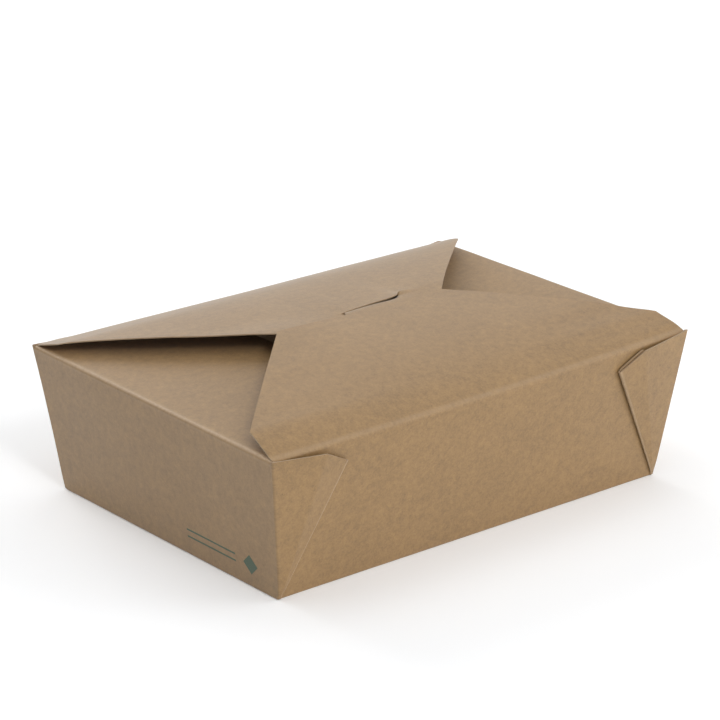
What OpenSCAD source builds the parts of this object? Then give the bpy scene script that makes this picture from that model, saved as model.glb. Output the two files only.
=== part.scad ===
// Folded kraft-board takeaway box: flared tray with web corners, tuck-lock lid.
// Millimetres, +Z up, long side along X, origin under the middle of the base.

/* [Tray] */
// Length of the base
base_l = 197; // [150:1:240]
// Width of the base
base_w = 137; // [110:1:170]
// Height of the rim above the table
rim_h = 61.5; // [45:0.5:90]
// How far each end wall leans out at the rim
lean_x = 9.3; // [5:0.1:14]
// How far each long wall leans out at the rim
lean_y = 7.3; // [4:0.1:12]
// Thickness of the board
board = 0.45; // [0.35:0.05:0.6]

/* [Lid flaps] */
// Length of each long flap, crease to free edge, seen from above
flap_len = 77.3; // [76.6:0.1:80]
// How far the free corners of a long flap stand in from the box ends
flap_in = 64.4; // [40:0.2:70]
// Relief corner: distance in from the box end
relief_in = 2.5; // [2:0.1:6]
// Relief corner: distance from the crease
relief_out = 14.9; // [10:0.1:20]
// Height that the closed front flap domes up to above its crease
dome_front = 12.6; // [11.8:0.1:14]
// Height that the closed back flap domes up to above its crease
dome_back = 11.8; // [9:0.1:12]
// Distance over which the dome rises
dome_run = 28; // [24:0.5:34]

/* [End flaps] */
// Length of each end flap
end_len = 70.5; // [50:0.5:74]
// Width of an end flap's free edge
end_free_w = 57; // [40:1:90]
// Gap between an end flap's sides and the long creases at the corners
end_gap = 3; // [2.5:0.1:6]

/* [Lock] */
// Left edge of the tongue, from the middle of the box
tongue_x0 = -7.8; // [-20:0.2:-4]
// Right edge of the tongue, from the middle of the box
tongue_x1 = 26; // [20:0.2:30]
// How far the tongue reaches past the front flap's free edge
tongue_len = 9.8; // [8.5:0.1:11]
// Width of the slit as the tongue holds it open
slit_w = 2.3; // [2.2:0.1:3]

/* [Web corners] */
// Length of the fold on a web, base corner to its tip
web_fold = 60.3; // [55:0.1:60.6]
// Distance of the knuckle in the web's top edge from the base corner
web_knuckle = 61.8; // [58:0.1:62]
// Angle of that knuckle from the corner edge
web_knuckle_a = 23.5; // [18:0.5:28]
// How far the outer web layer springs off the wall at the knuckle
web_spring = 1.3; // [0.6:0.1:1.6]

/* [Hidden] */

top_l = base_l + 2 * lean_x;
top_w = base_w + 2 * lean_y;
tilt_x = atan(lean_x / rim_h);
tilt_y = atan(lean_y / rim_h);
slant_y = rim_h / cos(tilt_y);          // long wall, measured up its slope
slant_x = rim_h / cos(tilt_x);          // end wall, measured up its slope
side_a = atan(lean_x / slant_y);        // corner edge against the long wall's upright
side_b = atan(lean_y / slant_x);        // corner edge against the end wall's upright
web_half = (90 - side_a - side_b) / 2;  // half of the web's angle in the flat sheet
fold_a = web_half - side_a;             // diagonal fold against the long wall's upright
corner_r = sqrt(pow(slant_y, 2) + pow(lean_x, 2));

half_b = board / 2;
axis_y = top_w / 2 - half_b;            // crease lines, at mid thickness
axis_z = rim_h - half_b;
skin = 0.12;                            // air between the layers of a web
far = 400;
steps = 22;

// height of a domed flap above its crease, and the slope there
function rise(top, u) = top * (1 - exp(-u / dome_run));
function slope(top, u) = atan(top / dome_run * exp(-u / dome_run));
// stations crowd towards the crease, where the flap bends most
function station(i) = flap_len * pow(i / steps, 1.5);

// section of a domed flap, crease at [0, 0], growing along +x, board half_b each side
function dome_section(top) = concat(
    [for (a = [110 : 35 : 250]) half_b * [cos(a + slope(top, 0)), sin(a + slope(top, 0))]],
    [for (i = [0 : steps]) let (u = station(i), s = slope(top, u))
        [u + half_b * sin(s), rise(top, u) - half_b * cos(s)]],
    [for (i = [steps : -1 : 0]) let (u = station(i), s = slope(top, u))
        [u - half_b * sin(s), rise(top, u) + half_b * cos(s)]]);

// sloped block whose four sides lean: x and y half sizes at z0, and their growth per mm
module flared(hx, hy, z0, z1) {
    gx = lean_x / rim_h;
    gy = lean_y / rim_h;
    d = z1 - z0;
    intersection() {
        rotate([90, 0, 0]) translate([0, 0, -far / 2]) linear_extrude(far)
            polygon([[-hx, z0], [hx, z0], [hx + gx * d, z1], [-hx - gx * d, z1]]);
        rotate([90, 0, 90]) translate([0, 0, -far / 2]) linear_extrude(far)
            polygon([[-hy, z0], [hy, z0], [hy + gy * d, z1], [-hy - gy * d, z1]]);
    }
}

// floor and four walls, open at the top
module tray() {
    difference() {
        flared(base_l / 2, base_w / 2, 0, rim_h);
        flared(base_l / 2 + lean_x * board / rim_h - board / cos(tilt_x),
               base_w / 2 + lean_y * board / rim_h - board / cos(tilt_y),
               board, rim_h + 8);
        // the front wall stops just under the crease that the front flap turns on
        translate([-top_l / 2 + 0.6, -top_w / 2 - 5, axis_z - 0.55])
            cube([top_l - 1.2, 5 + 2 * board, 5]);
    }
}

// seen from above: outline of a long flap, crease on y = 0
module flap_outline(h) {
    translate([0, 0, -1]) linear_extrude(h)
        polygon([[-top_l / 2 + 0.8, -1], [top_l / 2 - 0.8, -1], [top_l / 2 - 0.8, 0.3],
                 [top_l / 2 - relief_in, relief_out], [top_l / 2 - flap_in, flap_len],
                 [-top_l / 2 + flap_in, flap_len], [-top_l / 2 + relief_in, relief_out],
                 [-top_l / 2 + 0.8, 0.3]]);
}

// a domed long flap with its crease on the x axis, growing along +y
module long_flap(top) {
    intersection() {
        rotate([90, 0, 90]) translate([0, 0, -top_l / 2]) linear_extrude(top_l)
            polygon(dome_section(top));
        flap_outline(top + 3);
    }
}

// the slit in the back flap, held open by the tongue, with its hooked right end
module slit() {
    y0 = flap_len - axis_y + 2;
    translate([tongue_x0 - 0.5, y0, axis_z]) cube([tongue_x1 - tongue_x0 + 1, slit_w, 20]);
    translate([0, 0, axis_z]) linear_extrude(20)
        polygon([[tongue_x1 - 0.2, y0 + slit_w - 0.8], [tongue_x1 + 0.3, y0 + slit_w - 0.9],
                 [tongue_x1 + 3.2, y0 + slit_w + 2.6], [tongue_x1 + 2.7, y0 + slit_w + 2.9],
                 [tongue_x1 - 0.2, y0 + slit_w + 0.1]]);
}

// the tongue, from the free edge, down through the slit and on under the back flap
module tongue() {
    z1 = rise(dome_front, flap_len);
    z2 = z1 - 1.85;
    ys = flap_len + 1.6;
    yd = ys + 1.85 / tan(35);
    ye = flap_len + tongue_len;
    k = half_b * tan(17.5);
    x0 = tongue_x0;
    x1 = tongue_x1;
    intersection() {
        rotate([90, 0, 90]) translate([0, 0, x0 - 2]) linear_extrude(x1 - x0 + 4)
            polygon([[flap_len - 1.2, z1 - half_b], [ys - k, z1 - half_b], [yd - k, z2 - half_b],
                     [ye, z2 - half_b], [ye, z2 + half_b], [yd + k, z2 + half_b],
                     [ys + k, z1 + half_b], [flap_len - 1.2, z1 + half_b]]);
        linear_extrude(30)
            polygon([[x0, flap_len - 2], [x1, flap_len - 2], [x1, flap_len + 1.5],
                     [x1 - 2.6, ye - 2.2], [x1 - 5.2, ye], [x0 + 5.2, ye],
                     [x0 + 2.6, ye - 2.2], [x0, flap_len + 1.5]]);
    }
}

// an end flap, folded level, crease on x = 0, growing along +x
module end_flap() {
    w = top_w / 2 - end_gap;
    linear_extrude(board)
        polygon([[0.2, -w], [3, -w + 0.4], [10, -w + 1.4], [end_len - 1.5, -end_free_w / 2],
                 [end_len, -end_free_w / 2 + 2], [end_len, end_free_w / 2 - 2],
                 [end_len - 1.5, end_free_w / 2], [10, w - 1.4], [3, w - 0.4], [0.2, w]]);
}

// one layer of a web in the long wall's plane: base corner at [0, 0], inward +x, up +y.
// It springs off the wall along the line to the knuckle, as a cone from the base corner.
module web_layer(n0, spring) {
    a1 = asin(spring / (web_knuckle * sin(web_knuckle_a)));
    b = web_half - web_knuckle_a;
    a2 = asin(spring / (web_knuckle * sin(b)));
    translate([0, 0, n0]) {
        rotate([0, 0, side_a]) rotate([0, -a1, 0]) linear_extrude(board)
            polygon([[0, 0.8], [0, corner_r],
                     web_knuckle * [sin(web_knuckle_a), cos(web_knuckle_a)],
                     web_knuckle * [sin(web_knuckle_a), cos(web_knuckle_a)] + [0.3, -0.2],
                     [0.8, 1.2]]);
        rotate([0, 0, -fold_a]) rotate([0, a2, 0]) linear_extrude(board)
            polygon([[0, 0.8], [0, web_fold], web_knuckle * [-sin(b), cos(b)]]);
    }
}

// a folded web corner: wall, back along the wall, and back again to the end wall
module web() {
    n_top = 2 * board + 2 * skin;
    web_layer(skin, web_spring * 0.5);
    web_layer(skin + board + skin, web_spring);
    // fold along the corner edge
    rotate([0, 0, side_a]) translate([0, 0.3, -0.2]) cube([0.7, corner_r - 0.3, n_top + 0.2]);
    // diagonal fold between the two layers
    rotate([0, 0, -fold_a]) translate([-0.6, 0.8, skin]) cube([0.6, web_fold - 0.8, n_top - skin]);
}

// one web corner on the front wall, left end, trimmed flush with the end wall and below the crease
module web_corner() {
    intersection() {
        translate([-base_l / 2, -base_w / 2, 0]) rotate([90 + tilt_y, 0, 0]) web();
        rotate([90, 0, 0]) translate([0, 0, -far / 2]) linear_extrude(far)
            polygon([[-base_l / 2, 0], [0, 0], [0, rim_h - 1.4],
                     [-base_l / 2 - lean_x * (rim_h - 1.4) / rim_h, rim_h - 1.4]]);
    }
}

module carton() {
    color([0.70, 0.58, 0.45]) {
        difference() {
            union() {
                tray();
                for (mx = [0, 1]) mirror([mx, 0, 0]) {
                    for (my = [0, 1]) mirror([0, my, 0]) web_corner();
                    translate([-top_l / 2, 0, rim_h - board]) end_flap();
                }
                translate([0, axis_y, axis_z]) mirror([0, 1, 0]) long_flap(dome_back);
            }
            slit();
        }
    }
}

module front_flap() {
    color([0.66, 0.55, 0.43])
        translate([0, -axis_y, axis_z]) {
            long_flap(dome_front);
            tongue();
        }
}

carton();
front_flap();
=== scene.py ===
"""Looks of the folded kraft takeaway box, built as one creased sheet plus its front flap."""

import math

import bpy
import numpy as np
from mathutils import Matrix, Vector, noise


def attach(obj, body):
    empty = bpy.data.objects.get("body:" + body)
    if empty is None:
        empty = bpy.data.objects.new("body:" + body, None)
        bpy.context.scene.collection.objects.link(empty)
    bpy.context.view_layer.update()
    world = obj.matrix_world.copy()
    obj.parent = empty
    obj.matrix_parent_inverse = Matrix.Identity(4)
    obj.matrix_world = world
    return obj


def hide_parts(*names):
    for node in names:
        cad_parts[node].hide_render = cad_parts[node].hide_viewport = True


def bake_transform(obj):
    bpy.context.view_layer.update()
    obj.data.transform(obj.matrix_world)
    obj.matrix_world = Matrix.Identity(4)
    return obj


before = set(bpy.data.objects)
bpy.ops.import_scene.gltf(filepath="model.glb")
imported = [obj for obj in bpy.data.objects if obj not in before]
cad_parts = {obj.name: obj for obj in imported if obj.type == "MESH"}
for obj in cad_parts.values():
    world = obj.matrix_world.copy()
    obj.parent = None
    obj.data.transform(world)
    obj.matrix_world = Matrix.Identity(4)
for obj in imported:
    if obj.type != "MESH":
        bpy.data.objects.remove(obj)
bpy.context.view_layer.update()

# ------------------------------------------------------------------ sizes, in mm, as in the construction
MM = 0.001
BASE_L, BASE_W, RIM, LEAN_X, LEAN_Y, H = 197.0, 137.0, 61.5, 9.3, 7.3, 0.45
TOP_L, TOP_W = BASE_L + 2 * LEAN_X, BASE_W + 2 * LEAN_Y
TILT_X, TILT_Y = math.atan(LEAN_X / RIM), math.atan(LEAN_Y / RIM)
SLANT_X, SLANT_Y = RIM / math.cos(TILT_X), RIM / math.cos(TILT_Y)
SIDE_A, SIDE_B = math.atan(LEAN_X / SLANT_Y), math.atan(LEAN_Y / SLANT_X)
WEB = (math.pi / 2 - SIDE_A - SIDE_B) / 2
CORNER_R = math.hypot(SLANT_Y, LEAN_X)
HALF = H / 2
AXIS_Y, AXIS_Z = TOP_W / 2 - HALF, RIM - HALF
FLAP = 77.3
RUN = 28.0
DOME_F, DOME_B = 12.6, 11.8


def smooth(x, a, b):
    t = np.clip((np.asarray(x, float) - a) / (b - a), 0, 1)
    return t * t * (3 - 2 * t)


# ------------------------------------------------------------------ a folded sheet: middle surface first, thickness after
class Sheet:
    def __init__(self):
        self.p, self.flat, self.wear, self.f, self.far = [], [], [], [], []

    def put(self, p, flat, wear=0.0, far=0.0):
        self.p.append(np.asarray(p, float))
        self.far.append(float(far))
        self.flat.append((float(flat[0]), float(flat[1])))
        self.wear.append(float(wear))
        return len(self.p) - 1

    def face(self, ids):
        out = [i for k, i in enumerate(ids) if i != ids[k - 1]]
        if len(set(out)) == len(out) and len(out) > 2:
            self.f.append(tuple(out))

    def grid(self, rows, closed=False):
        for a, b in zip(rows[:-1], rows[1:]):
            n = len(a)
            for c in range(n if closed else n - 1):
                d = (c + 1) % n
                self.face((a[c], a[d], b[d], b[c]))

    def solid(self, name, mats, bend=None):
        """Closed mesh of the board: outer side, inner side, and the cut edges round it."""
        p = np.array(self.p)
        if bend is not None:
            p = bend(p, np.array(self.far))
        n = np.zeros_like(p)
        for f in self.f:
            a = p[list(f)]
            if len(f) == 4:
                v = np.cross(a[2] - a[0], a[3] - a[1])
            else:
                v = np.cross(a[1] - a[0], a[2] - a[0])
            for i in f:
                n[i] += v
        n /= np.maximum(np.linalg.norm(n, axis=1), 1e-12)[:, None]
        # slow unevenness of real board
        for i, q in enumerate(p):
            w = noise.noise(Vector(q * 0.021)) * 0.16 + noise.noise(Vector(q * 0.055 + 7.3)) * 0.07
            p[i] = q + n[i] * w * (1 if q[2] > 1.2 else 0.15)
        m = len(p)
        used = {}
        for f in self.f:
            for k in range(len(f)):
                e = (f[k], f[(k + 1) % len(f)])
                used[e] = used.get(e, 0) + 1
        border = [e for e in used if (e[1], e[0]) not in used]
        verts = np.concatenate([p + n * HALF, p - n * HALF]) * MM
        faces = [f for f in self.f] + [tuple(i + m for i in f[::-1]) for f in self.f]
        kinds = [0] * len(self.f) + [1] * len(self.f) + [2] * len(border)
        faces += [(b, a, a + m, b + m) for a, b in border]
        me = bpy.data.meshes.new(name)
        me.from_pydata([tuple(v) for v in verts], [], faces)
        me.validate()
        for k in mats:
            me.materials.append(k)
        if len(me.polygons) == len(kinds):
            me.polygons.foreach_set("material_index", np.array(kinds, np.int32))
            me.polygons.foreach_set("use_smooth", np.array([k < 2 for k in kinds]))
        else:
            raise RuntimeError(f"{name}: {len(kinds) - len(me.polygons)} faces were bad")
        at = me.attributes.new("flat", "FLOAT_VECTOR", "POINT")
        flat = np.array([(u, v, 0.0) for u, v in self.flat] + [(u, v, 40.0) for u, v in self.flat], np.float32)
        at.data.foreach_set("vector", flat.ravel())
        # how strong the paler fold line is at each point: partly whitened fibres, partly a painted highlight
        at = me.attributes.new("wear", "FLOAT", "POINT")
        at.data.foreach_set("value", np.array(self.wear * 2, np.float32))
        rim = {tuple(sorted(e)) for a, b in border for e in ((a, b), (a + m, b + m))}
        sharp = me.attributes.new("sharp_edge", "BOOLEAN", "EDGE")
        sharp.data.foreach_set("value", np.array([tuple(sorted(e.vertices)) in rim for e in me.edges]))
        me.update()
        ob = bpy.data.objects.new(name, me)
        bpy.context.scene.collection.objects.link(ob)
        return ob


# ------------------------------------------------------------------ how the real box is pulled out of true
D_TL, D_TF, D_TR, D_BK = (np.array(v) for v in ((0.0, 0, 0.45), (0.0, -0.5, -0.88), (-0.35, 0.4, 0.75), (0.7, 0, -0.6)))
D_BL = np.array((-0.45, 0.1, 0))
D_BR = np.array((-1.9, -1.7, 0))
BOW_OUT, BOW_DOWN = 1.0, 0.8


def bend(p, far):
    """Corner shifts fade out along the flaps (far is the distance from a flap's own crease)."""
    x, y, z = p[:, 0] / (TOP_L / 2), p[:, 1] / (TOP_W / 2), np.clip(p[:, 2] / RIM, 0, 1)
    wl, wr, wf, wb = (1 - x) / 2, (1 + x) / 2, (1 - y) / 2, (1 + y) / 2
    hold = z * (1 - smooth(far, 2, 14))
    d = sum((hold * a * b)[:, None] * v for a, b, v in ((wl, wb, D_TL), (wl, wf, D_TF), (wr, wf, D_TR), (wr, wb, D_BK)))
    d += ((1 - z) * wl * wb)[:, None] * D_BL + ((1 - z) * wr * wf)[:, None] * D_BR
    b = np.clip(1 - x * x, 0, 1)
    near = np.exp(-np.maximum(0, p[:, 1] + TOP_W / 2) / 24) * z * z * b
    d[:, 1] -= BOW_OUT * near
    d[:, 2] -= BOW_DOWN * near
    # walls belly out a little between their creases
    belly = np.sin(np.pi * z)
    d[:, 1] -= 0.35 * belly * b * smooth(-p[:, 1], 60, 68)
    d[:, 1] += 0.5 * belly * b * smooth(p[:, 1], 60, 68)
    by = np.clip(1 - y * y, 0, 1)
    d[:, 0] -= 0.12 * belly * by * smooth(-p[:, 0], 90, 98)
    d[:, 0] += 0.3 * belly * smooth(-p[:, 0], 90, 98) * smooth(p[:, 1], 30, 68)
    d[:, 0] += 0.45 * belly * by * smooth(p[:, 0], 90, 98)
    # the right end's crease arches up
    arch = 0.6 * by**0.7 + 0.25 * np.exp(-(((p[:, 1] - 58) / 14) ** 2)) + 0.3 * np.exp(-(((p[:, 1] + 71) / 5) ** 2))
    d[:, 2] += arch * z * z * np.exp(-np.maximum(0, TOP_L / 2 - p[:, 0]) / 16)
    # the back crease is pinched up near its left end
    d[:, 2] += 0.42 * z**4 * np.exp(-(((p[:, 0] + 99) / 6) ** 2) - ((p[:, 1] - TOP_W / 2) / 7) ** 2)
    return p + d


# ------------------------------------------------------------------ web corners (front left one; the others mirror it)
C0 = np.array([-BASE_L / 2, -BASE_W / 2, 0.0])
DIR = np.array([-LEAN_X, -LEAN_Y, RIM]) / math.sqrt(LEAN_X**2 + LEAN_Y**2 + RIM**2)
NF = np.array([0, -math.cos(TILT_Y), -math.sin(TILT_Y)])
FX = np.array([1.0, 0, 0]) - DIR[0] * DIR
FX /= np.linalg.norm(FX)
A1, RF, RA = 1.0, 0.285, 0.6          # fold offsets: wall end, layer folds, corner fold
SEG1, SEG2 = [0, 0.04, 0.12, 0.25, 0.42, 0.6, 0.8, 0.94, 1.0], [0.06, 0.3, 0.55, 0.8, 0.93, 0.97, 1.0]
# per corner: knuckle (reach, degrees), fold tip (reach, degrees), how far each layer springs at the knuckle and at the tip
WEBS = {(1, 1): (62.0, 22.5, 60.1, 34.8, 0.75, 1.75, 0.12, 0.35), (-1, 1): (62.8, 23.7, 61.5, 36.4, 0.85, 1.5, 0.5, 0.75),
        (-1, -1): (61.1, 23.5, 59.8, 37.2, 0.4, 0.8, 0.2, 0.4), (1, -1): (61.3, 23.5, 59.9, 37.2, 0.5, 1.0, 0.3, 0.5)}
TALL = {(-1, 1): 0.5}                 # this corner's web stands a little above the end crease
PEEK = {(-1, 1): 0.6, (1, -1): 0.3}   # and its inner layer shows past the outer one between knuckle and tip
T_WALL = 60.3 / RIM
T_END = 59.95 / RIM
CR = 0.95                             # end creases, radius at mid thickness


def web_edge(k):
    """Top edge of a web from the corner over the knuckle to the fold's tip: across, along, share, layer springs."""
    r1, a1, r2, a2, p1, q1, p2, q2 = WEBS[k]
    e0, e1, e2 = (0.0, CORNER_R + TALL.get(k, 0.0)), (r1 * math.sin(math.radians(a1)), r1 * math.cos(math.radians(a1))), (r2 * math.sin(math.radians(a2)), r2 * math.cos(math.radians(a2)))
    out = [(e0[0] + (e1[0] - e0[0]) * s, e0[1] + (e1[1] - e0[1]) * s, p1 * s, q1 * s) for s in SEG1]
    out += [(e1[0] + (e2[0] - e1[0]) * s, e1[1] + (e2[1] - e1[1]) * s, p1 + (p2 - p1) * s, q1 + (q2 - q1) * s) for s in SEG2]
    return out, math.radians(a2), r2


def stack(t, corner=(1, 1)):
    """Cross-section of the corner at height share t: (point, flat, strength of the paler fold line, partly a painted
    highlight) from the wall's end, in and out along both layers, round to the end wall.
    """
    edge, web, reach = web_edge(corner)
    k2 = edge[-1][:2]
    out = []
    beta = 0.42 + 0.58 * float(smooth(t * CORNER_R, 0.5, 7))
    grow = max(t * k2[0] - A1, 0.15)
    axis = np.array([math.cos(web), -math.sin(web)])

    def flat(ang, r, side):
        if side:
            return (-BASE_L / 2 - r * math.sin(SIDE_A + ang), -BASE_W / 2 - r * math.cos(SIDE_A + ang))
        return (-BASE_L / 2 - r * math.cos(SIDE_B + ang), -BASE_W / 2 - r * math.sin(SIDE_B + ang))

    def at(a, b, d):
        return C0 + DIR * d + FX * a + NF * (b * beta)

    d0 = t * CORNER_R + TALL.get(corner, 0.0) * float(smooth(t, 0.8, 1.0))
    # the diagonal fold carries the paler fold line, partly whitened fibres and partly a painted highlight; on this
    # corner it fades in the middle
    worn_highlight = 0.4 + 0.35 * abs(2 * t - 1) if corner == (1, 1) else 1.0
    for k in range(7):                                  # wall end, fold, first layer
        th = math.pi * k / 6
        out.append((at(A1 - RF * math.sin(th), 0.06 - RF * math.cos(th), d0), flat(0, d0, True), 0.0))
    n = len(edge)
    for i, (a, d, p, q) in enumerate(edge[1:]):
        short = 0.9 * math.sin(math.pi * (i + 1) / (n - 1)) ** 0.5 if i < n - 2 else 0.0
        if corner in PEEK and i >= len(SEG1) - 2:
            share = (i - len(SEG1) + 2) / len(SEG2)
            short = -PEEK[corner] * max(0.0, math.sin(math.pi * share)) ** 0.7
        out.append((at(A1 + grow * a / k2[0], 0.345 + p * t, t * (d - short)), flat(math.atan2(a, d), t * math.hypot(a, d), True), 0.0))
    b1, b2 = 0.345 + edge[-1][2] * t, 0.915 + edge[-1][3] * t
    bc, rr = (b1 + b2) / 2, (b2 - b1) / 2
    for k in range(1, 6):                               # diagonal fold
        th = math.pi * k / 6
        e = axis * rr * math.sin(th)
        out.append((at(A1 + grow + e[0], bc - rr * math.cos(th), t * k2[1] + e[1]), flat(web, t * reach, False), worn_highlight))
    for i, (a, d, p, q) in enumerate(edge[:0:-1]):      # outer layer, back to the corner
        out.append((at(A1 + grow * a / k2[0], 0.915 + q * t, t * d), flat(math.atan2(a, d), t * math.hypot(a, d), False), (worn_highlight, 0.35 * worn_highlight)[i] if i < 2 else 0.0))
    for k in range(0, 7):                               # round the corner
        th = math.pi / 2 * k / 6
        # the rounded corner carries a faint paler line as well: whitened fibres and a painted highlight
        out.append((at(HALF + RA - RA * math.sin(th), 0.915 - RA + RA * math.cos(th), d0), flat(0, d0, False), math.sin(2 * th) * 0.15))
    return out


N_STACK = len(stack(0.5))
ROWS = [0.0125, 0.022, 0.045, 0.08, 0.13, 0.19, 0.26, 0.33, 0.4, 0.47, 0.54, 0.61, 0.68, 0.75, 0.82, 0.88, 0.93, 0.965, 0.98, 0.988, 0.995, 1.0]
BEZ = [1.0, 0.84, 0.68, 0.5, 0.32, 0.16]
BASE_IN = [0.08, 0.25, 0.45, 0.65, 0.82, 0.93, 0.975, 0.992]

# columns of the long walls and flaps, as shares of half the crease (left -1, right 1)
COLS = sorted(set([round(v, 4) for v in np.linspace(-0.96, 0.96, 33)] + [-0.995, -0.985, 0.985, 0.995] +
                  [-0.18, -0.15, 0.6] + [round(-0.12 + 0.036 * k, 4) for k in range(20)]))
YCOLS = [0.997, 0.988, 0.975, 0.955, 0.93, 0.9, 0.84, 0.77, 0.7, 0.6, 0.5, 0.4, 0.3, 0.2, 0.1]


def wall_point(x, t, back=False):
    """Middle of the long wall at share t of the rim height."""
    z = RIM * t
    y = -(BASE_W / 2 + LEAN_Y * t) + HALF / math.cos(TILT_Y)
    return np.array([x, -y if back else y, z])


def end_point(y, t, right=False):
    z = RIM * t
    x = -(BASE_L / 2 + LEAN_X * t) + HALF / math.cos(TILT_X)
    return np.array([-x if right else x, y, z])


def build_carton(mats):
    s = Sheet()

    def corner(mx, my, t):
        got = stack(t, (mx, my))
        return [(np.array([p[0] * mx, p[1] * my, p[2]]), (f[0] * mx, f[1] * my), w) for p, f, w in got]

    def ring(t):
        """One level of the walls, counter-clockwise from the front wall's left end."""
        tw, te = t * T_WALL, t * T_END
        # the top rows of the end walls carry a little of the paler crease line: whitened fibres and a painted highlight
        rub_and_highlight = 0.25 * float(smooth(t, 0.985, 1.0))
        cols = []
        def stack_of(mx, my):
            full = corner(mx, my, t)
            low = corner(mx, my, tw)
            # the wall side of the stack ends a little lower, under the crease
            mix = [0.0, 0.25, 0.5, 0.75, 0.95]
            for k, m in enumerate(mix):
                full[k] = tuple(low[k][i] * (1 - m) + full[k][i] * m if i == 0 else low[k][i] for i in range(3))
            return full
        fl, fr, br, bl = stack_of(1, 1), stack_of(-1, 1), stack_of(-1, -1), stack_of(1, -1)
        xl, xr = fl[0][0][0], fr[0][0][0]
        for c in COLS:
            x = -c * xl if c < 0 else c * xr
            cols.append((wall_point(x, tw), (x, -BASE_W / 2 - SLANT_Y * tw), 0.0))
        cols += fr
        y0, y1 = fr[-1][0][1], br[-1][0][1]
        for q in YCOLS:
            cols.append((end_point(y0 * q, te if q < 0.99 else t, True), (BASE_L / 2 + SLANT_X * te, y0 * q), rub_and_highlight))
        cols.append((end_point(0.0, te, True), (BASE_L / 2 + SLANT_X * te, 0.0), rub_and_highlight))
        for q in YCOLS[::-1]:
            cols.append((end_point(y1 * q, te if q < 0.99 else t, True), (BASE_L / 2 + SLANT_X * te, y1 * q), rub_and_highlight))
        cols += br[::-1]
        for c in COLS[::-1]:
            x = -c * bl[0][0][0] if c < 0 else c * br[0][0][0]
            cols.append((wall_point(x, tw, True), (x, BASE_W / 2 + SLANT_Y * tw), 0.0))
        cols += bl
        for q in YCOLS:
            cols.append((end_point(q * bl[-1][0][1], te if q < 0.99 else t), (-BASE_L / 2 - SLANT_X * te, q * bl[-1][0][1]), rub_and_highlight))
        cols.append((end_point(0.0, te), (-BASE_L / 2 - SLANT_X * te, 0.0), rub_and_highlight))
        for q in YCOLS[::-1]:
            cols.append((end_point(q * fl[-1][0][1], te if q < 0.99 else t), (-BASE_L / 2 - SLANT_X * te, q * fl[-1][0][1]), rub_and_highlight))
        cols += fl[::-1]
        return cols

    nc, ny = len(COLS), len(YCOLS) * 2 + 1
    at = {}
    k = 0
    for name, n in (("front", nc), ("fr", N_STACK), ("right", ny), ("br", N_STACK), ("back", nc), ("bl", N_STACK), ("left", ny), ("fl", N_STACK)):
        at[name] = (k, k + n)
        k += n
    total = k

    walls = [ring(t) for t in ROWS]
    w0 = walls[0]
    # feet of the columns on the base's own outline, and the corner of the base fold
    ix, iy = BASE_L / 2 - 0.85, BASE_W / 2 - 0.85
    kx, ky = BASE_L / 2 - HALF, BASE_W / 2 - HALF
    foot, knee = [None] * total, [None] * total
    for name, (a, b) in at.items():
        for j in range(a, b):
            p = w0[j][0]
            if name in ("front", "back"):
                sg = -1 if name == "front" else 1
                x = p[0] / abs(w0[a if abs(w0[a][0][0]) > abs(w0[b - 1][0][0]) else b - 1][0][0]) * (ix - 0.9)
                foot[j] = np.array([x, sg * iy, HALF])
                knee[j] = np.array([p[0], sg * ky, HALF])
            elif name in ("right", "left"):
                sg = 1 if name == "right" else -1
                y = p[1] / abs(w0[a][0][1]) * (iy - 0.9)
                foot[j] = np.array([sg * ix, y, HALF])
                knee[j] = np.array([sg * kx, p[1], HALF])
            else:
                f = (j - a) / (b - a - 1)
                if name in ("fl", "br"):
                    f = 1 - f                            # 0 at the long wall, 1 at the end wall
                mx = 1 if name in ("fl", "bl") else -1
                my = 1 if name in ("fl", "fr") else -1
                th = math.pi / 2 * f
                c = np.array([-(ix - 0.9), -(iy - 0.9), HALF])
                foot[j] = (c + 0.9 * np.array([-math.sin(th), -math.cos(th), 0])) * np.array([mx, my, 1])
                c = np.array([-(kx - 1.0), -(ky - 1.0), HALF])
                knee[j] = (c + 1.15 * np.array([-math.sin(th), -math.cos(th), 0])) * np.array([mx, my, 1])

    def base_z(p):
        return HALF + 0.55 * max(0, 1 - (p[0] / ix) ** 2) * max(0, 1 - (p[1] / iy) ** 2)

    idx = []
    for q in BASE_IN:
        row = []
        for j in range(total):
            p = foot[j] * np.array([q, q, 1])
            p[2] = base_z(p)
            row.append(s.put(p, p[:2]))
        idx.append(row)
    for tau in BEZ:
        row = []
        for j in range(total):
            p = (1 - tau) ** 2 * w0[j][0] + 2 * tau * (1 - tau) * knee[j] + tau**2 * foot[j]
            fl = (w0[j][1][0] * (1 - tau) + foot[j][0] * tau, w0[j][1][1] * (1 - tau) + foot[j][1] * tau)
            # the base fold carries the paler fold line as well: whitened fibres and a painted highlight
            row.append(s.put(p, fl, 0.55 * math.sin(math.pi * tau)))
        idx.append(row)
    for w in walls:
        idx.append([s.put(p, f, we) for p, f, we in w])
    s.grid(idx, closed=True)
    # middle of the base
    hub = s.put((0, 0, HALF + 0.55), (0, 0))
    for j in range(total):
        s.face((hub, idx[0][(j + 1) % total], idx[0][j]))

    top = idx[-1]
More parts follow.
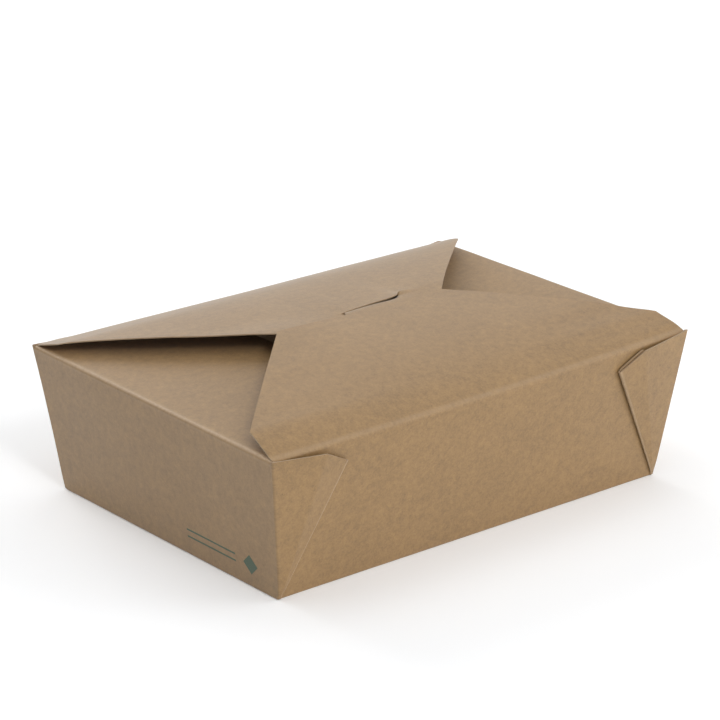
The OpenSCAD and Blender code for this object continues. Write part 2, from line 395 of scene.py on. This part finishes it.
    # end walls go on over their creases into the end flaps
    for name, right in (("right", True), ("left", False)):
        a, b = at[name]
        js = [j for j in range(a, b) if abs(s.p[top[j]][1]) <= abs(s.p[top[a]][1]) * 0.992]
        sg = 1 if right else -1
        # the paler line along the end creases is partly whitened fibres and partly a painted highlight: full on the
        # left crease, faint on the right
        mark_strength = 0.15 if right else 1.0
        cz = RIM - HALF - CR
        xm = BASE_L / 2 + LEAN_X * cz / RIM - HALF / math.cos(TILT_X)
        cx = xm - CR / math.cos(TILT_X)
        wtop = max(abs(s.p[top[j]][1]) for j in js)
        rows = [[top[j] for j in js]]
        for k in range(1, 9):
            an = -TILT_X + (math.pi / 2 + TILT_X) * k / 8
            x, z = cx + CR * math.cos(an), cz + CR * math.sin(an)
            rows.append([s.put((sg * x, s.p[top[j]][1], z), (sg * (BASE_L / 2 + SLANT_X * T_END + 0.22 * k), s.p[top[j]][1]), mark_strength * (0.25 + 0.75 * float(smooth(k / 8, 0.2, 0.6)))) for j in js])
        half = lambda u: float(np.interp(u, [0, 1.2, 3, 10, 68.7, 69.5, 70.1, 70.5], [wtop, wtop - 0.2, 72.5, 71.5, 28.7, 27.9, 27.0, 25.6]))
        for u in [1.6, 2.2, 3, 4.5, 7, 10, 14, 19, 25, 31, 37, 43, 49, 55, 60, 64, 67, 68.7, 69.5, 70.1, 70.5]:
            row = []
            for j in js:
                y = s.p[top[j]][1] / wtop * half(u)
                # the left flap springs up a little under the lid, the right one is pushed down by it
                sag = (-5.5 if right else 4.3) * (u / 70) ** 1.15 - 0.14 * (u / 70) ** 1.4 * (1 - (y / 73) ** 2) + 0.2 * math.sin(math.pi * min(1, u / 20))
                row.append(s.put((sg * (TOP_L / 2 - u), y, RIM - HALF + sag), (sg * (BASE_L / 2 + SLANT_X + u), y), mark_strength * (1 - float(smooth(u, 1.3, 2.6))), u / 4))
            rows.append(row)
        s.grid(rows)

    # back wall goes on over its crease into the back flap
    a, b = at["back"]
    js = list(range(a, b))                               # from the right (x +) to the left
    cs = COLS[::-1]
    rows = [[top[j] for j in js]]
    back_flap(s, rows, [s.p[top[j]][0] for j in js], cs)
    fa, fb = at["front"]
    return s, [s.p[top[j]].copy() for j in range(fa, fb)]


def rise(top, u):
    return top * (1 - math.exp(-u / RUN))


# line of the slit in the back flap, x against y
SLIT = [(-6.6, 5.2), (-5.2, 5.5), (-1.0, 5.85), (4.0, 6.0), (9.0, 6.2), (14.0, 6.1), (18.0, 5.95), (21.0, 6.1), (23.2, 6.75), (25.2, 8.3), (27.4, 10.9)]


def slit_y(x):
    return float(np.interp(x, [p[0] for p in SLIT], [p[1] for p in SLIT]))


U_STEPS = [1.3, 1.9, 2.7, 3.7, 5, 6.8, 9, 11.8, 14.5, 17, 20, 23.5, 27.5, 32, 36.5, 41, 45.5, 50, 54, 57.5, 60.5, 63, 65.2, 67, 68.6, 69.6]
U_AFTER = [70.6, 71.8, 73, 74.2, 75.4, 76.4, 77.3]
FOLD = 0.9                            # how far the long creases' bend reaches up and in


def fold_profile(top, c):
    """Points (u, z) over a long crease from the wall, c below it, to the dome, c in from it."""
    wall = np.array([c * math.tan(TILT_Y), -c])          # the wall leans out, so lower down it is further in
    dome = np.array([c, rise(top, c)])
    # each point comes with the strength of the paler crease line, partly whitened fibres and partly a painted highlight
    return [((1 - k / 8) ** 2 * wall + (k / 8) ** 2 * dome, 0.5 * float(smooth(k / 8, 0.25, 0.85))) for k in range(0, 9)]


def table(rows):
    xs, ys = zip(*rows)
    return lambda u: float(np.interp(u, xs, ys))


# how far the sides of the flaps stand in from the half length, and how high they stand, against u
BACK_L = table([(0, 0.5), (1, 0.5), (7, 0.15), (14.5, 1.1), (17, 3.5), (74.7, 64.1), (77.3, 66.8)])
BACK_R = table([(0, 0.1), (1, 0.3), (14.2, 1.25), (28.8, 16.8), (53.5, 43.3), (73.9, 64.0), (77.3, 67.0)])
FRONT_L = table([(0, 0.1), (1, 0.2), (14.9, 1.8), (76.4, 64.0), (77.3, 65.0)])
FRONT_R = table([(0, 0.1), (1, 0.3), (15.0, 2.3), (77.3, 64.0)])
BACK_LZ = table([(0, 0), (5, 1.9), (10, 3.6), (14.5, 4.95), (17.5, 5.8), (23.1, 6.75), (28.7, 7.5), (34.2, 8.2), (39.8, 8.88), (45.3, 9.5),
                 (50.9, 9.95), (56.4, 10.5), (61.9, 11.15), (67.4, 11.75), (72.4, 12.1), (77.3, 12.3)])
FRONT_LZ = table([(0, 0), (5, 2.2), (8.4, 3.4), (11.4, 4.4), (14.9, 5.45), (17.3, 5.8), (21, 6.3), (25.3, 7.05), (29.6, 7.75), (35.7, 8.5), (40, 9.1),
                  (44.5, 9.75), (49, 10.35), (55.4, 11.0), (59.8, 11.4), (64.6, 11.9), (69, 12.25), (72, 12.5), (77.3, 12.8)])
FRONT_RZ = table([(0, 0), (5, 2.1), (10, 3.9), (15, 5.5), (17.5, 5.95), (21, 6.38), (24.4, 6.9), (31.3, 8.26), (43, 9.55), (54.5, 10.5), (64.7, 11.13), (77.3, 11.55)])
SPAN_L, SPAN_R = 107.6, 107.3


def side(c, u, left, right):
    """x of the column with share c on a flap's line u."""
    return (SPAN_R - right(u)) * c if c > 0 else (SPAN_L - left(u)) * c


def spread(c):
    return float(smooth(-c, 0.1, 1.0)), float(smooth(c, 0.1, 1.0))


def back_flap(s, rows, x0, cs):
    """Rows of the back flap, each from right to left; the slit is a cut between two of them."""
    def height(c, u):
        base = rise(DOME_B, u) + 0.25 * float(smooth(u, 40, 70))
        l, r = spread(c)
        return base + l * (BACK_LZ(u) - base) - 0.12 * r * float(smooth(u, 50, 72))

    n = len(cs)
    for k, (q, w) in enumerate(fold_profile(DOME_B, FOLD)):
        u, dz = float(q[0]), float(q[1])
        f = k / 8
        rows.append([s.put((x0[j] * (1 - f) + side(cs[j], u, BACK_L, BACK_R) * f, AXIS_Y - u, AXIS_Z + dz), (x0[j], BASE_W / 2 + SLANT_Y + dz + u), w) for j in range(n)])
    main = [[[side(cs[k], u0, BACK_L, BACK_R), u0] for k in range(n)] for u0 in U_STEPS]
    after = [[[side(cs[k], u0, BACK_L, BACK_R), u0] for k in range(n)] for u0 in U_AFTER]
    # the last main row follows the slit's line; rows round it make room
    shift = []
    for k in range(n):
        x = main[-1][k][0]
        want = AXIS_Y - slit_y(x)
        w = float(smooth(x, -26, -7)) * (1 - float(smooth(x, 28.5, 50)))
        shift.append((want - U_STEPS[-1]) * w)
    for row in main:
        for k in range(n):
            row[k][1] += shift[k] * float(smooth(row[k][1], 44, U_STEPS[-1]))
    for row in after:
        for k in range(n):
            row[k][1] += shift[k] * (1 - float(smooth(row[k][1], U_STEPS[-1], 77.3)))
    lo, hi = SLIT[0][0], SLIT[-1][0]

    def raised(x, dist):
        """How far the edge behind the slit stands up: most near its right end."""
        a = float(np.interp(x, [lo - 6, lo, lo + 3, 8, 20, 24, hi, hi + 9], [0, 0.1, 0.3, 0.6, 1.15, 1.25, 0.6, 0]))
        return a * math.exp(-dist / 10)

    def bent(x, u):
        """Right of the slit the flap bends down softly under the front flap's edge."""
        w = float(smooth(x, 24, 31)) * (1 - float(smooth(x, 50, 60)))
        return -0.05 * max(0.0, u - 64.5) * w

    for row in main:
        ids = []
        for k in range(n):
            x, u = row[k]
            z = height(cs[k], u) + raised(x, main[-1][k][1] - u) + bent(x, u)
            # the flap's root carries the paler crease line, partly a painted highlight
            ids.append(s.put((x, AXIS_Y - u, AXIS_Z + z), (x, BASE_W / 2 + SLANT_Y + u), 0.5 * (1 - float(smooth(u, 1.0, 2.9))), u))
        rows.append(ids)
    # the near side of the slit: its own points where the slit runs, lowered under the tongue
    near = list(rows[-1])
    for k in range(n):
        x, u = main[-1][k]
        if lo < x < hi - 0.4:
            ends = min(1.0, (x - lo) / 4.0, (hi - 0.4 - x) / 2.5)
            z = height(cs[k], u) - 0.75 * max(0, ends) ** 0.6 + bent(x, u)
            near[k] = s.put((x, AXIS_Y - u - 0.12, AXIS_Z + z), (x, BASE_W / 2 + SLANT_Y + u + 0.1), 0, u)
    s.grid(rows)
    rows2 = [near]
    for row in after:
        ids = []
        for k in range(n):
            x, u = row[k]
            under = 0.0
            if lo - 3 < x < hi + 2:
                under = -0.6 * float(smooth(x, lo - 3, lo + 1)) * (1 - float(smooth(x, hi - 2, hi + 2))) * math.exp(-(u - main[-1][k][1]) / 2.2)
            ids.append(s.put((x, AXIS_Y - u, AXIS_Z + height(cs[k], u) + under + bent(x, u) * 0.9), (x, BASE_W / 2 + SLANT_Y + u), 0, u))
        rows2.append(ids)
    s.grid(rows2)


F_STEPS = [1.2, 1.8, 2.6, 3.6, 5, 7, 9.4, 12, 14.9, 17, 20, 23.5, 27.5, 32, 36.5, 41, 45.5, 50, 54.5, 59, 63, 66.5, 69.5, 72, 74, 75.6, 76.6, 77.3]


def build_front(mats, wall_top):
    """The front flap from just under its crease, with the tongue on its free edge."""
    s = Sheet()
    cs = COLS
    x0 = [p[0] for p in wall_top]
    n = len(cs)

    def height(c, u):
        base = rise(DOME_F, u)
        l, r = spread(c)
        return base + l * (FRONT_LZ(u) - base) + r * (FRONT_RZ(u) - base)

    flat = lambda x, v: (x, -BASE_W / 2 - SLANT_Y - v)
    rows = [[s.put(p, flat(p[0], -1.0)) for p in wall_top]]
    for k, (q, w) in enumerate(fold_profile(DOME_F, FOLD)):
        u, dz = float(q[0]), float(q[1])
        f = k / 8
        rows.append([s.put((x0[j] * (1 - f) + side(cs[j], u, FRONT_L, FRONT_R) * f, -AXIS_Y + u, AXIS_Z + dz), flat(x0[j], dz + u), w) for j in range(n)])
    for u in F_STEPS:
        row = []
        for k in range(n):
            x = side(cs[k], u, FRONT_L, FRONT_R)
            # the flap's root carries the paler crease line, partly a painted highlight
            row.append(s.put((x, -AXIS_Y + u, AXIS_Z + height(cs[k], u)), flat(x, u), 0.5 * (1 - float(smooth(u, 1.0, 2.9))), u))
        rows.append(row)
    s.grid(rows)
    # tongue
    ks = [k for k in range(n) if -0.1801 <= cs[k] <= 0.6001]
    free = rows[-1]
    xs = [s.p[free[k]][0] for k in ks]
    zf = [s.p[free[k]][2] for k in ks]
    trows = [[free[k] for k in ks]]
    lx, rx = xs[0], xs[-1]
    for v in [0.5, 1.0, 1.6, 2.2, 2.8, 3.4, 4.0, 4.7, 5.5, 6.4, 7.4, 8.4, 9.2, 9.8]:
        xl = float(np.interp(v, [0, 2.6, 4.5, 7.6, 9.8], [lx, lx + 1.6, lx + 1.4, lx + 2.6, lx + 5.2]))
        xr = float(np.interp(v, [0, 2.5, 5.5, 7.6, 9.8], [rx, rx - 0.3, rx - 1.0, rx - 2.6, rx - 5.6]))
        row = []
        for k, x in enumerate(xs):
            f = (x - lx) / (rx - lx)
            xx = xl + (xr - xl) * f
            vs = slit_y(xx) - (-AXIS_Y + FLAP)
            drop = 2.0 / (1 + math.exp(-(v - vs) / 0.62))
            row.append(s.put((xx, -AXIS_Y + FLAP + v, zf[k] - drop), flat(xx, FLAP + v), 0, FLAP + v))
        trows.append(row)
    s.grid(trows)
    return s


# ------------------------------------------------------------------ materials
def node_tree(name):
    m = bpy.data.materials.new(name)
    m.use_nodes = True
    nt = m.node_tree
    nt.nodes.clear()
    return m, nt


class Nodes:
    def __init__(self, nt):
        self.nt = nt

    def new(self, kind, **kw):
        n = self.nt.nodes.new(kind)
        for k, v in kw.items():
            setattr(n, k, v)
        return n

    def link(self, a, b):
        self.nt.links.new(a, b)

    def math(self, op, a, b=None, c=None, clamp=False):
        n = self.new("ShaderNodeMath", operation=op, use_clamp=clamp)
        for i, v in enumerate((a, b, c)):
            if v is None:
                continue
            if isinstance(v, (int, float)):
                n.inputs[i].default_value = v
            else:
                self.link(v, n.inputs[i])
        return n.outputs[0]

    def noise(self, vec, scale, detail=2.0, rough=0.5, lac=2.0):
        n = self.new("ShaderNodeTexNoise")
        n.inputs["Scale"].default_value = scale
        n.inputs["Detail"].default_value = detail
        n.inputs["Roughness"].default_value = rough
        n.inputs["Lacunarity"].default_value = lac
        self.link(vec, n.inputs["Vector"])
        return n.outputs["Fac"]

    def mapping(self, vec, scale=(1, 1, 1), rot=0.0, loc=(0, 0, 0)):
        n = self.new("ShaderNodeMapping")
        n.inputs["Scale"].default_value = scale
        n.inputs["Rotation"].default_value = (0, 0, rot)
        n.inputs["Location"].default_value = loc
        self.link(vec, n.inputs["Vector"])
        return n.outputs[0]

    def remap(self, v, a, b, c, d):
        n = self.new("ShaderNodeMapRange")
        for i, x in zip(("From Min", "From Max", "To Min", "To Max"), (a, b, c, d)):
            n.inputs[i].default_value = x
        self.link(v, n.inputs["Value"])
        return n.outputs["Result"]

    def mix(self, fac, a, b, blend="MIX"):
        n = self.new("ShaderNodeMix", data_type="RGBA", blend_type=blend)
        if isinstance(fac, (int, float)):
            n.inputs[0].default_value = fac
        else:
            self.link(fac, n.inputs[0])
        for i, v in ((6, a), (7, b)):
            if isinstance(v, tuple):
                n.inputs[i].default_value = (*v, 1)
            else:
                self.link(v, n.inputs[i])
        return n.outputs[2]


def board(name, base, rough=0.78, contrast=1.0, mark=False, cut=False, sheen=0.0):
    """Uncoated kraft: clouded pulp, fine fibres lying two ways, dark flecks, and a paler, whiter line on the folds that
    is partly whitened fibres and partly a painted highlight.
    """
    m, nt = node_tree(name)
    N = Nodes(nt)
    out = N.new("ShaderNodeOutputMaterial")
    bs = N.new("ShaderNodeBsdfPrincipled")
    N.link(bs.outputs[0], out.inputs[0])
    at = N.new("ShaderNodeAttribute", attribute_name="flat").outputs["Vector"]
    wear = N.new("ShaderNodeAttribute", attribute_name="wear").outputs["Fac"]
    base = tuple(base)
    # value = 1 + sums of small clouds, in shares of the base colour
    cloud = N.remap(N.noise(at, 0.03, 3.0, 0.5), 0.3, 0.7, -0.035 * contrast, 0.035 * contrast)
    cloud = N.math("ADD", cloud, N.remap(N.noise(N.mapping(at, (1, 1, 1), 0, (21, 4, 0)), 0.14, 2.0, 0.5), 0.3, 0.7, -0.035 * contrast, 0.035 * contrast))
    mottle = N.remap(N.noise(at, 0.36, 4.0, 0.6), 0.3, 0.7, -0.1 * contrast, 0.1 * contrast)
    grain = N.remap(N.noise(N.mapping(at, (1, 1, 1), 0.6, (5, 9, 0)), 1.15, 3.0, 0.62), 0.3, 0.7, -0.08 * contrast, 0.08 * contrast)
    f1 = N.noise(N.mapping(at, (0.55, 5.5, 1), 0.28), 1.0, 3.0, 0.6)
    f2 = N.noise(N.mapping(at, (4.8, 0.5, 1), -0.35, (13, 5, 0)), 1.0, 3.0, 0.6)
    f3 = N.noise(N.mapping(at, (0.8, 7.5, 1), 0.95, (3, 31, 0)), 1.0, 2.0, 0.6)
    fib = N.math("ADD", N.remap(f1, 0.3, 0.7, -0.045 * contrast, 0.045 * contrast), N.remap(f2, 0.3, 0.7, -0.045 * contrast, 0.045 * contrast))
    fib = N.math("ADD", fib, N.remap(f3, 0.3, 0.7, -0.04 * contrast, 0.04 * contrast))
    val = N.math("ADD", N.math("ADD", cloud, mottle), N.math("ADD", fib, grain))
    val = N.math("ADD", val, 1.0)
    # flecks: small dark bits of bark
    vor = N.new("ShaderNodeTexVoronoi", feature="F1")
    vor.inputs["Scale"].default_value = 0.36
    N.link(N.mapping(at, (1.0, 1.5, 1), 0.5), vor.inputs["Vector"])
    sep = N.new("ShaderNodeSeparateColor")
    N.link(vor.outputs["Color"], sep.inputs[0])
    keep = N.math("GREATER_THAN", sep.outputs[0], 0.72)
    size = N.math("MULTIPLY_ADD", sep.outputs[1], 0.075, 0.03)
    dot = N.math("MULTIPLY", N.math("LESS_THAN", vor.outputs["Distance"], size), keep)
    dark = N.math("MULTIPLY_ADD", dot, -0.2 * contrast, 1.0)
    val = N.math("MULTIPLY", val, dark)
    rgb = N.new("ShaderNodeCombineColor")
    for i, b in enumerate(base):
        # the pulp clouds shift hue a little as well: blue moves most
        k = (0.95, 1.0, 1.1)[i]
        v = N.math("MULTIPLY_ADD", N.math("SUBTRACT", val, 1.0), k, 1.0)
        v = N.math("MULTIPLY", v, b)
        N.link(v, rgb.inputs[i])
    col = rgb.outputs[0]
    # colour of the paler fold line: lighter and whiter than the board, partly whitened fibres and partly a painted
    # highlight on the rounded crease
    worn_highlight = tuple(min(1, b * w) for b, w in zip(base, (1.55, 1.87, 3.2)))
    if not cut:
        brk = N.remap(N.noise(at, 0.9, 3.0, 0.6), 0.35, 0.65, 0.55, 1.0)
        col = N.mix(N.math("MULTIPLY", wear, N.math("MULTIPLY", brk, 0.75)), col, worn_highlight)
    if mark:
        sxyz = N.new("ShaderNodeSeparateXYZ")
        N.link(at, sxyz.inputs[0])
        X, Y = sxyz.outputs[0], sxyz.outputs[1]
        ink = None

        def bar(u0, v0, u1, v1):
            # u runs along the end wall towards the front, v up it
            a = N.math("SUBTRACT", 1.0, N.math("ABSOLUTE", N.math("DIVIDE", N.math("ADD", Y, (u0 + u1) / 2), (u1 - u0) / 2)))
            b = N.math("SUBTRACT", 1.0, N.math("ABSOLUTE", N.math("DIVIDE", N.math("ADD", X, BASE_L / 2 + (v0 + v1) / 2), (v1 - v0) / 2)))
            return N.math("MULTIPLY", N.math("GREATER_THAN", a, 0.0), N.math("GREATER_THAN", b, 0.0))

        shapes = [bar(15.0, 11.3, 45.0, 12.1), bar(15.0, 8.2, 45.0, 9.0)]
        du = N.math("ABSOLUTE", N.math("ADD", Y, 54.0))
        dv = N.math("ABSOLUTE", N.math("ADD", X, BASE_L / 2 + 10.2))
        shapes.append(N.math("LESS_THAN", N.math("ADD", du, dv), 4.3))
        for q in shapes:
            ink = q if ink is None else N.math("MAXIMUM", ink, q)
        # the ink is rubbed thin in patches
        mark_strength = N.remap(N.noise(at, 3.2, 4.0, 0.65), 0.34, 0.6, 0.82, 1.0)
        col = N.mix(N.math("MULTIPLY", ink, mark_strength), col, (0.004, 0.055, 0.018))
    N.link(col, bs.inputs["Base Color"])
    bs.inputs["Roughness"].default_value = rough
    bs.inputs["Specular IOR Level"].default_value = 0.7
    if sheen:
        bs.inputs["Sheen Weight"].default_value = sheen
        bs.inputs["Sheen Roughness"].default_value = 0.4
    bump = N.new("ShaderNodeBump")
    bump.inputs["Strength"].default_value = 0.22 if not cut else 0.5
    bump.inputs["Distance"].default_value = 0.0001
    hgt = N.math("ADD", N.math("MULTIPLY", N.math("ADD", f1, f2), 0.35), N.math("MULTIPLY", N.noise(at, 1.7, 4.0, 0.65), 0.8))
    N.link(hgt, bump.inputs["Height"])
    N.link(bump.outputs[0], bs.inputs["Normal"])
    return m


KRAFT = (0.278, 0.161, 0.0557)
out_m = board("kraft_outside", KRAFT, rough=0.55, contrast=1.5, mark=True, sheen=0.38)
in_m = board("kraft_inside", (0.41, 0.265, 0.14), rough=0.5, contrast=0.9, sheen=0.3)
cut_m = board("kraft_cut_edge", (0.34, 0.24, 0.145), rough=0.85, contrast=1.6, cut=True, sheen=0.2)
MATS = [out_m, in_m, cut_m]

sheet, wall_top = build_carton(MATS)
carton = sheet.solid("carton_sheet", MATS, bend)
front = build_front(MATS, wall_top)
flap = front.solid("front_flap_sheet", MATS, bend)

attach(carton, "carton")
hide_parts("carton")
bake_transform(flap)
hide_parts("front_flap")

# ------------------------------------------------------------------ floor, light, camera
scene = bpy.context.scene
scene.view_settings.view_transform = "Standard"
scene.view_settings.look = "None"
scene.view_settings.exposure = 0.0
scene.view_settings.gamma = 1.0
world = bpy.data.worlds.new("studio")
scene.world = world
world.use_nodes = True
bg = world.node_tree.nodes["Background"]
bg.inputs[0].default_value = (1.0, 1.0, 1.0, 1)
bg.inputs[1].default_value = 0.22

fm = bpy.data.meshes.new("floor")
fm.from_pydata([(-6, -6, 0), (6, -6, 0), (6, 6, 0), (-6, 6, 0)], [], [(0, 1, 2, 3)])
floor = bpy.data.objects.new("floor", fm)
scene.collection.objects.link(floor)
m, nt = node_tree("floor_white")
N = Nodes(nt)
o = N.new("ShaderNodeOutputMaterial")
b = N.new("ShaderNodeBsdfDiffuse")
b.inputs[0].default_value = (0.955, 0.963, 0.975, 1)
# the sweep is lit a little from below
glow = N.new("ShaderNodeEmission")
glow.inputs[0].default_value = (0.95, 0.98, 1.0, 1)
glow.inputs[1].default_value = 0.06
both = N.new("ShaderNodeAddShader")
N.link(b.outputs[0], both.inputs[0])
N.link(glow.outputs[0], both.inputs[1])
N.link(both.outputs[0], o.inputs[0])
fm.materials.append(m)


def area(name, loc, target, size, power, color=(1, 1, 1)):
    l = bpy.data.lights.new(name, "AREA")
    l.shape = "RECTANGLE"
    l.size, l.size_y = size
    l.energy = power
    l.color = color
    ob = bpy.data.objects.new(name, l)
    ob.location = loc
    ob.rotation_mode = "QUATERNION"
    ob.rotation_quaternion = (Vector(target) - Vector(loc)).to_track_quat("-Z", "Y")
    scene.collection.objects.link(ob)
    return ob


def softbox(name, turn, height, size, power, color=(1, 1, 1), away=1.5):
    """Square light turned from +X about the box, height in degrees above the floor."""
    t, h = math.radians(turn), math.radians(height)
    loc = Vector((math.cos(t) * math.cos(h), math.sin(t) * math.cos(h), math.sin(h))) * away + Vector((0, 0, 0.03))
    return area(name, loc, (0, 0, 0.03), (size, size), power, color)


softbox("key_small", -105, 40.5, 0.4, 5.9)
softbox("key_wide", -90, 36, 0.9, 1)
softbox("front_low", -90, 12, 0.9, 1.2)
softbox("front_left_high", -120, 60, 0.9, 1.7)
softbox("front_right", -30, 35, 0.9, 2.1)
softbox("right_fill", 0, 35, 0.9, 1.9)
softbox("front_right_low", -45, 12, 0.9, 7.7)
softbox("back_low", 90, 20, 0.9, 4.7)
softbox("back_mid", 90, 30, 0.9, 6.7)
softbox("back_left_high", 150, 60, 0.9, 3)
softbox("back_right", 50, 35, 0.9, 1.8)
softbox("right_high", 30, 60, 0.9, 1.7)
softbox("left_high", 180, 60, 0.9, 0.8)
softbox("top", 90, 88, 0.9, 1.3)

az, el, roll, dist = math.radians(-40.10), math.radians(20.53), math.radians(0.44), 1.3116
back = Vector((math.sin(az) * math.cos(el), -math.cos(az) * math.cos(el), math.sin(el)))
xv = Vector((0, 0, 1)).cross(back).normalized()
yv = back.cross(xv)
x2 = xv * math.cos(roll) + yv * math.sin(roll)
y2 = -xv * math.sin(roll) + yv * math.cos(roll)
cam_data = bpy.data.cameras.new("camera")
cam = bpy.data.objects.new("camera", cam_data)
scene.collection.objects.link(cam)
cam.matrix_world = Matrix.Translation(Vector((0.0347, 0.0430, 0.032)) + back * dist) @ Matrix((x2, y2, back)).transposed().to_4x4()
cam_data.sensor_width = 36.0
cam_data.sensor_fit = "AUTO"
cam_data.lens = 36.0 * 3113 / 720
cam_data.clip_start, cam_data.clip_end = 0.05, 30.0
scene.camera = cam

bpy.context.view_layer.update()
